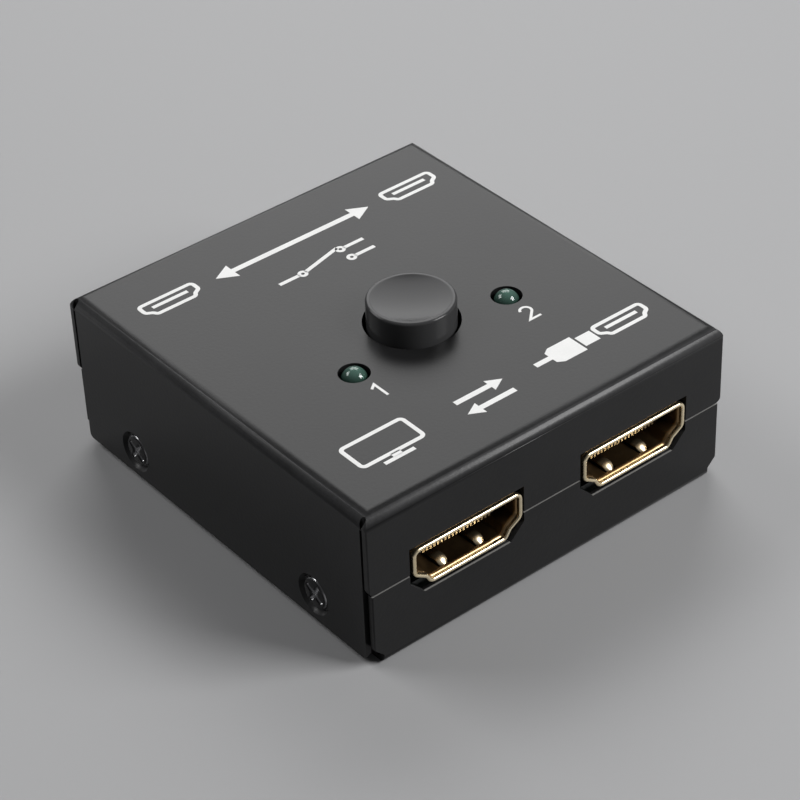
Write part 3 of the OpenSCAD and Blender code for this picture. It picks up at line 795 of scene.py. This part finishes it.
        # painted shade: deeper in the socket than the nose, the fingers take the dark inner colour
        high, low = (abs(self.at[1]) - deep for deep in self.finger_shade_span)
        return WearAndShadeMetal(
            "finger_gold", Axis.Y, low, high, (0.25, 0.17, 0.09), (0.8, 0.66, 0.44), rough=(0.28, 0.36)
        )

    def build(self, gold: Material, satin: Material, pale: Material) -> None:
        """Builds the tube in satin plating with painted shade, the rim in gold and the fingers in plating
        with painted shade behind the nose.
        """
        fit_piece(self.build_tube(), Body.BOX, "gold_plate", satin, f"{self.name}_shell")
        fit_piece(self.build_rim(), Body.BOX, "gold_plate", gold)
        fit_piece(self.build_fingers(), Body.BOX, "gold_plate", pale)

    def dress(self, plastic: Material, brass: Material) -> None:
        """Gives the insert its plastic and the contacts their brass."""
        dress_node(f"{self.name}_insert", plastic, self.insert_edge)
        dress_node(f"{self.name}_contacts", brass)


@dataclass
class PushButton:
    """The round dished cap of the push button."""

    wall: float = 1.0
    top: float = 1.3
    edge: float = 0.3
    ring: float = 0.22
    lip: float = 0.4
    lip_turn: float = 10.0
    dish: float = 0.4
    boss: Pair = (2.25, 2.85)
    boss_up: float = 0.3
    chamfer: float = 0.1
    steps: tuple[int, int, int] = (12, 8, 40)
    turns: int = 160

    def profile(self, radius: float, height: float) -> np.ndarray:
        """Gives the cap's half section.

        The skirt rises to a rounded rim with a flat ring and a soft inner lip, and the dish sinks from the
        lip as a parabola towards the axis.

        Args:
            radius: Outer radius.
            height: Height of the rim above the skirt's edge.

        Returns:
            Rows of radius and height, from the axis under the top round to the axis above it.
        """
        ceiling = height - self.top
        inner, bevel = radius - self.wall, self.chamfer
        hole, boss = self.boss
        under = [[0, ceiling], [hole, ceiling], [hole, self.boss_up], [boss, self.boss_up], [boss, ceiling]]
        under += [[inner, ceiling], [inner, bevel], [inner + bevel, 0], [radius - bevel, 0], [radius, bevel]]
        rim_steps, lip_steps, dish_steps = self.steps
        shoulder = radius - self.edge
        rim = arc((shoulder, height - self.edge), self.edge, 0, 90, rim_steps)
        lip = arc((shoulder - self.ring, height - self.lip), self.lip, 90, 90 + self.lip_turn, lip_steps)
        start, sill = lip[-1]
        across = np.linspace(start, 0, dish_steps)[1:]
        bowl = sill - (sill - height + self.dish) * (1 - (across / start) ** 2)
        return np.concatenate([under, rim, lip, np.stack([across, bowl], -1)])

    def build(self) -> None:
        """Builds the cap and gives it its plastic."""
        low, high = node_box("button_cap")
        centre = np.array([*(low + high)[:2] / 2, low[2]])
        radius = (high[0] - low[0]) / 2
        cap = lathe(self.profile(radius, high[2] - low[2]), centre, self.turns)
        plastic = CapPlastic("button_plastic", tuple(centre[:2]), radius - self.edge - self.ring)
        piece = make_piece("push_button", cap, sharp=40)
        fit_piece(piece, Body.BUTTON, "button_plastic", plastic.material(), "button_cap")


@dataclass
class StatusLamp:
    """One round lamp with a domed crown."""

    number: int
    radius: float = 1.5
    flange_t: float = 0.8
    chamfer: float = 0.1
    dome_steps: int = 28
    turns: int = 96

    def build(self, resin: Material) -> None:
        """Builds the lens of resin: a flange, a straight barrel and a half ball."""
        low, high = node_box(f"lamp_lens_{self.number}")
        flange, height = (high[0] - low[0]) / 2, high[2] - low[2]
        centre = np.array([*(low + high)[:2] / 2, low[2]])
        c, t = self.chamfer, self.flange_t
        foot = [[0, 0], [flange - c, 0], [flange, c], [flange, t - c], [flange - c, t], [self.radius, t]]
        dome = arc((0.0, height - self.radius), self.radius, 0, 90, self.dome_steps)
        lens = lathe(np.concatenate([foot, dome]), centre, self.turns)
        piece = make_piece(f"status_lamp_{self.number}", lens, sharp=40)
        fit_piece(piece, Body.BOX, "lamp_lens", resin, f"lamp_lens_{self.number}")


@dataclass
class SideScrews:
    """The four cross-head screws in the dimples of the side panels."""

    shank: float = 1.25
    length: float = 4.5
    tip: float = 0.3
    head: float = 1.95
    head_t: float = 0.34
    head_edge: Pair = (0.05, 0.06)
    dome: float = 0.1
    roll: float = 0.35
    fall: float = 0.2
    cross_l: float = 3.0
    cross_w: float = 0.66
    cross_depth: float = 0.38
    soft: float = 0.26
    core: float = 0.75
    core_soft: float = 0.5
    core_share: float = 0.6
    sink: float = 0.5
    bare: Pair = (0.18, 0.32)
    spins: tuple[float, ...] = (60.0, 55.0, 20.0, 75.0)
    top_steps: int = 46
    turns: int = 160

    def heights(self, x: np.ndarray, y: np.ndarray) -> np.ndarray:
        """Gives the head's top: a shallow dome that rolls off at its edge, less two crossing legs.

        Args:
            x: First coordinates on the head.
            y: Second coordinates.

        Returns:
            Heights above the head's underside.
        """
        near, far, out = np.minimum(abs(x), abs(y)), np.maximum(abs(x), abs(y)), np.hypot(x, y)
        leg = np.clip((self.cross_w / 2 - near) / self.soft, 0, 1)
        leg = leg * np.clip((self.cross_l / 2 - far) / self.soft, 0, 1)
        core = np.clip((self.core - out) / self.core_soft, 0, 1)
        sunk = self.cross_depth * np.maximum(leg, self.core_share * core)
        roll = np.clip((out - self.head) / self.roll + 1, 0, 1)
        return self.head_t + self.dome * (1 - (out / self.head) ** 2) - sunk - self.fall * roll**2

    def one(self) -> Part:
        """Builds one upright screw with its head's underside at height 0."""
        inset, raised = self.head_edge
        shank, head, tip, end = self.shank, self.head, self.tip, -self.length
        under = [[0, end], [shank - tip, end], [shank, end + tip], [shank, 0]]
        under += [[head - inset, 0], [head, raised], [head, self.head_t - self.fall]]
        top = np.linspace(self.head - inset, 0, self.top_steps)
        profile = np.concatenate([under, np.stack([top, np.zeros_like(top)], -1)])
        points, faces = lathe(profile, np.zeros(3), self.turns)
        crown = points.reshape(len(profile), self.turns, 3)[len(under) :]
        crown[..., 2] = self.heights(crown[..., 0], crown[..., 1])
        return points, faces

    def build(self) -> None:
        """Turns the four screws into the side panels and gives them black steel, rubbed bare in the drive."""
        low, high = node_box("side_screws")
        seat = node_box("top_cover")[1, 0] - self.sink
        middle = (low[2] + high[2]) / 2
        points, faces = self.one()
        spots = [(side, y) for side in (-1, 1) for y in (low[1] + self.head, high[1] - self.head)]
        parts = []
        for (side, y), spin in zip(spots, np.radians(self.spins)):
            a = points[:, 0] * np.cos(spin) - points[:, 1] * np.sin(spin)
            b = points[:, 0] * np.sin(spin) + points[:, 1] * np.cos(spin)
            parts.append((np.stack([side * (seat + points[:, 2]), y + side * a, middle + b], -1), faces))
        start, end = (seat + up for up in self.bare)
        steel = WearAndShadeMetal(
            "black_oxide", Axis.X, start, end, (0.5, 0.5, 0.51), (0.035, 0.035, 0.036), rough=(0.2, 0.3)
        )
        piece = make_piece("cross_head_screws", join_parts(parts), sharp=60)
        fit_piece(piece, Body.BOX, "black_screw", steel.material(), "side_screws")


@dataclass
class TopPrint:
    """White print on the top: the lamps' numbers and plain signs, each drawn about its own middle."""

    thick: float = 0.02
    line: float = 0.5
    number_h: float = 2.4
    numbers: tuple[Pair, Pair] = ((-10.1, -10.4), (11.05, -10.35))
    rear: Pair = (0.3, 18.1)
    rear_span: float = 17.2
    rear_scale: float = 0.52
    arrow_l: float = 22.0
    arrow_w: float = 0.75
    arrow_head: Pair = (2.4, 1.35)
    lever: Pair = (0.3, 12.3)
    screen: Pair = (-15.6, -18.2)
    swap: Pair = (-2.5, -18.7)
    plug: Pair = (12.6, -18.2)

    def ribbon(self, path: np.ndarray, width: float, closed: bool = False) -> Part:
        """Lays a flat band along a line in the plane, with mitred corners.

        Args:
            path: Rows of x and y.
            width: Width of the band.
            closed: Whether the line returns to its start.

        Returns:
            Points and faces of a thin slab standing on height 0.
        """
        path = np.asarray(path, float)
        step = (np.roll(path, -1, 0) - path) if closed else np.diff(path, axis=0)
        step = step / np.linalg.norm(step, axis=1, keepdims=True)
        ahead = step if closed else np.vstack([step, step[-1:]])
        behind = np.roll(step, 1, 0) if closed else np.vstack([step[:1], step])
        left_a, left_b = behind[:, ::-1] * [-1, 1], ahead[:, ::-1] * [-1, 1]
        side = (left_a + left_b) / (1 + (left_a * left_b).sum(1, keepdims=True))
        flat = np.zeros((len(path), 1))
        w, t = width / 2, self.thick
        section = np.array([[w, 0], [w, t], [-w, t], [-w, 0]])
        up = np.broadcast_to([0.0, 0.0, 1.0], (len(path), 3))
        points, faces = sweep(np.hstack([path, flat]), np.hstack([side, flat]), up, section)
        if closed:
            faces = quad_grid(len(path), len(section), close_rows=True, close_cols=True).tolist()
        return points, faces

    def patch(self, outline: np.ndarray) -> Part:
        """Makes a thin slab of a convex outline in the plane."""
        outline = np.asarray(outline, float)
        n = len(outline)
        low, high = np.hstack([outline, np.zeros((n, 1))]), np.hstack([outline, np.full((n, 1), self.thick)])
        faces = quad_grid(2, n, close_cols=True).tolist() + [list(range(n)), list(range(n, 2 * n))]
        return np.concatenate([low, high]), faces

    def moved(self, parts: list[Part], at: Pair) -> list[Part]:
        """Moves a sign's middle to a place in the plane."""
        return [(points + [*at, 0.0], faces) for points, faces in parts]

    def numeral(self, number: int) -> list[Part]:
        """Draws a plain 1 or 2 in thin strokes, on a square of side 1 that is scaled to the height."""
        path = np.array([[-0.22, 0.27], [0.08, 0.5], [0.08, -0.5]])
        if number == 2:
            path = np.concatenate([arc((0.0, 0.22), 0.28, 165, -38, 18), [[-0.31, -0.46], [0.33, -0.46]]])
        stroke = 0.13
        return [self.ribbon(self.number_h * path, self.number_h * stroke)]

    def socket_sign(self, scale: float) -> list[Part]:
        """Draws a socket's outline and its tongue, at a scale against a real socket."""
        outline = DOutline(radius=0.9).grown(np.zeros(1))[0]
        tongue = np.array([[-4.6, 0.3], [4.6, 0.3]])
        return [self.ribbon(scale * outline, self.line, closed=True), self.ribbon(scale * tongue, self.line)]

    def double_arrow(self) -> list[Part]:
        """Draws a straight arrow with a head at either end."""
        long, wide = self.arrow_head
        head = np.array([[0.0, 0.0], [-long, wide], [-long, -wide]])
        reach = np.array([self.arrow_l / 2, 0.0])
        shaft = np.array([[long - reach[0], 0.0], [reach[0] - long, 0.0]])
        return [self.ribbon(shaft, self.arrow_w), self.patch(reach + head), self.patch(-reach - head)]

    def changeover_sign(self) -> list[Part]:
        """Draws a lever that joins one contact to either of two."""
        reach, rise, ring, gap, end = 3.1, 1.05, 0.42, 0.5, 6.4
        parts = []
        for x, y in ((-reach, 0.0), (reach, rise), (reach, -rise)):
            loop = arc((x, y), ring, 0, 360, 25)[:-1]
            parts.append(self.ribbon(loop, self.line * 0.8, closed=True))
            wire = np.array([[x + math.copysign(gap, x), y], [math.copysign(end, x), y]])
            parts.append(self.ribbon(wire, self.line))
        return parts + [self.ribbon(np.array([[-2.65, 0.1], [2.9, 1.5]]), self.line)]

    def screen_sign(self) -> list[Part]:
        """Draws a screen with rounded corners on its stand."""
        wide, tall, lift, round_off = 3.6, 1.45, 0.6, 0.5
        turns = ((1, 1, 0), (-1, 1, 90), (-1, -1, 180), (1, -1, 270))
        corners = [
            arc((sx * wide, lift + sy * tall), round_off, start, start + 90, 6) for sx, sy, start in turns
        ]
        neck = self.ribbon(np.array([[0.0, -1.45], [0.0, -2.1]]), 1.2)
        foot = self.ribbon(np.array([[-2.0, -2.3], [2.0, -2.3]]), self.line)
        return [self.ribbon(np.concatenate(corners), self.line, closed=True), neck, foot]

    def swap_sign(self) -> list[Part]:
        """Draws two arrows that point opposite ways."""
        shaft = np.array([[-3.2, 1.15], [1.6, 1.15]])
        head = np.array([[3.4, 1.15], [1.6, 2.15], [1.6, 0.15]])
        width = 0.7
        return [part for way in (1, -1) for part in (self.ribbon(way * shaft, width), self.patch(way * head))]

    def plug_sign(self) -> list[Part]:
        """Draws a plug on its cable in front of a socket."""
        cable = np.array([[-7.6, 0.0], [-5.4, 0.0]])
        grip = np.array([[-5.4, -1.0], [-4.6, -1.5], [-1.4, -1.5], [-1.4, 1.5], [-4.6, 1.5], [-5.4, 1.0]])
        nose = np.array([[-1.1, -0.95], [1.0, -0.95], [1.0, 0.95], [-1.1, 0.95]])
        cable_w, socket_at, socket_scale = 0.7, (5.0, 0.0), 0.5
        parts = [self.ribbon(cable, cable_w), self.patch(grip), self.patch(nose)]
        return parts + self.moved(self.socket_sign(socket_scale), socket_at)

    def build(self) -> None:
        """Prints every sign on the top face in white ink."""
        top = node_box("top_cover")[1, 2]
        x, y = self.rear
        signs = [(self.numeral(number), at) for number, at in enumerate(self.numbers, 1)]
        signs += [(self.socket_sign(self.rear_scale), (x + side * self.rear_span, y)) for side in (-1, 1)]
        signs += [
            (self.double_arrow(), self.rear),
            (self.changeover_sign(), self.lever),
            (self.screen_sign(), self.screen),
            (self.swap_sign(), self.swap),
            (self.plug_sign(), self.plug),
        ]
        points, faces = join_parts([part for sign, at in signs for part in self.moved(sign, at)])
        piece = make_piece("top_print", (points + [0, 0, top], faces), sharp=30)
        ink = moulding("white_ink", (0.74, 0.74, 0.73), (0.5, 0.6), spread=0.06, depth=0.002, gloss=0.2)
        fit_piece(piece, Body.BOX, "pale_plastic", ink.material())


@dataclass
class InnerParts:
    """The board, the switch and the other parts that the case hides."""

    steel_nodes: tuple[str, ...] = (
        "return_spring", "switch_terminals", "lamp_leads_1", "lamp_leads_2", "board_screws", "chip_leads"
    )
    brass_nodes: tuple[str, ...] = ("contact_clips", "standoffs")
    plastic_nodes: tuple[str, ...] = ("switch_housing", "switch_chip", "surge_chips", "resistors")

    def dress(self, steel: Material, brass: Material, plastic: Material) -> None:
        """Gives each hidden CAD node its finish: plated steel, brass, dark plastic or one of its own."""
        mask = moulding("solder_mask", (0.012, 0.016, 0.014), (0.25, 0.4), spread=0.35, grain=900.0)
        cream = moulding("cream_plastic", (0.7, 0.67, 0.6), (0.4, 0.5))
        ceramic = moulding("ceramic", (0.42, 0.28, 0.16), (0.5, 0.6))
        dress_node("circuit_board", mask.material())
        dress_node("switch_plunger", cream.material())
        dress_node("capacitors", ceramic.material())
        groups = ((steel, self.steel_nodes), (brass, self.brass_nodes), (plastic, self.plastic_nodes))
        for material, nodes in groups:
            for node in nodes:
                dress_node(node, material)


# Studio


@dataclass(frozen=True)
class Softbox:
    """A rectangular soft light that faces the box, in metres and watts."""

    name: str
    at: Point
    size: Pair
    power: float
    aim: Point = (0.0, 0.0, 0.01)

    def hang(self) -> None:
        """Adds the light, with its long axis level and its back turned away from the box."""
        data = bpy.data.lights.new(self.name, "AREA")
        data.shape = "RECTANGLE"
        data.size, data.size_y = self.size
        data.energy = self.power
        lamp = bpy.data.objects.new(self.name, data)
        bpy.context.scene.collection.objects.link(lamp)
        turn = (Vector(self.at) - Vector(self.aim)).to_track_quat("Z", "Y")
        lamp.matrix_world = Matrix.Translation(self.at) @ turn.to_matrix().to_4x4()
        lamp.visible_camera = False


@dataclass
class Studio:
    """Pale floor, soft lights and the camera."""

    floor: Color = (0.33, 0.33, 0.335)
    floor_reach: float = 4000.0
    floor_rough: float = 0.6
    sky: Color = (0.8, 0.81, 0.83)
    world: float = 0.1
    lights: tuple[Softbox, ...] = (
        Softbox("rear_light", (0.31, 0.4, 0.375), (0.42, 0.4), 1.75),
        Softbox("front_light", (0.304, -0.372, 0.39), (0.28, 0.28), 3.8),
        Softbox("left_light", (-0.248, 0.39, 0.412), (0.36, 0.2), 1.6),
    )
    camera_at: Point = (-0.150099, -0.193384, 0.192659)
    camera_turn: Point = (52.90327, 1.89476, -39.37759)
    lens: float = 122.375
    sensor: float = 36.0
    clip: Pair = (0.01, 20.0)

    def lay_floor(self) -> None:
        """Lays a wide plain floor under the box."""
        corners = np.array([[-1, -1, 0], [1, -1, 0], [1, 1, 0], [-1, 1, 0]])
        piece = make_piece("floor", (corners * self.floor_reach, [[0, 1, 2, 3]]), closed=False)
        values = {"Base Color": (*self.floor, 1.0), "Roughness": self.floor_rough}
        piece.data.materials.append(new_material("pale_floor", **values)[0])

    def light(self) -> None:
        """Sets the world's tone and hangs the lights."""
        world = bpy.data.worlds.new("studio")
        bpy.context.scene.world = world
        world.use_nodes = True
        background = world.node_tree.nodes["Background"]
        background.inputs["Color"].default_value = (*self.sky, 1.0)
        background.inputs["Strength"].default_value = self.world
        for softbox in self.lights:
            softbox.hang()

    def set_camera(self) -> None:
        """Puts the camera where the photograph was taken from."""
        data = bpy.data.cameras.new("camera")
        data.sensor_width = self.sensor
        data.lens = self.lens
        data.clip_start, data.clip_end = self.clip
        camera = bpy.data.objects.new("camera", data)
        bpy.context.scene.collection.objects.link(camera)
        turn = Euler([math.radians(angle) for angle in self.camera_turn])
        camera.matrix_world = Matrix.Translation(self.camera_at) @ turn.to_matrix().to_4x4()
        bpy.context.scene.camera = camera

    def build(self) -> None:
        """Sets up the whole studio."""
        bpy.context.scene.view_settings.view_transform = "Standard"
        self.lay_floor()
        self.light()
        self.set_camera()


def main() -> None:
    """Builds and dresses the box in order."""
    logging.basicConfig(level=logging.INFO, format="%(name)s: %(message)s")
    gold = Plating("gold_plating", (0.97, 0.85, 0.62), (0.92, 0.77, 0.5), (0.22, 0.32)).material()
    # painted shade: the tube's satin plating is a darker copy of the rim's gold, for the shade inside the
    # sockets
    shaded_gold = Plating("shaded_satin_gold", (0.4, 0.27, 0.14), (0.3, 0.19, 0.09), (0.3, 0.42)).material()
    brass = Plating("contact_brass", (0.5, 0.4, 0.25), (0.4, 0.31, 0.18), (0.34, 0.46)).material()
    steel = Plating("plated_steel", (0.72, 0.73, 0.75), (0.6, 0.6, 0.62), (0.25, 0.4)).material()
    matt = moulding("dark_plastic", (0.03, 0.029, 0.03), (0.32, 0.42)).material()
    resin = LampResin("lamp_resin", node_box("lamp_lens_1")[1, 2]).material()

    SheetCase().dress()
    sockets = [Socket("front_left"), Socket("front_right"), Socket("rear", turned=True)]
    finger_gold = sockets[0].finger_gold().material()
    for socket in sockets:
        socket.build(gold, shaded_gold, finger_gold)
        socket.dress(matt, brass)
    PushButton().build()
    for number in (1, 2):
        StatusLamp(number).build(resin)
    SideScrews().build()
    TopPrint().build()
    InnerParts().dress(steel, brass, matt)
    Studio().build()


if __name__ == "__main__":
    main()
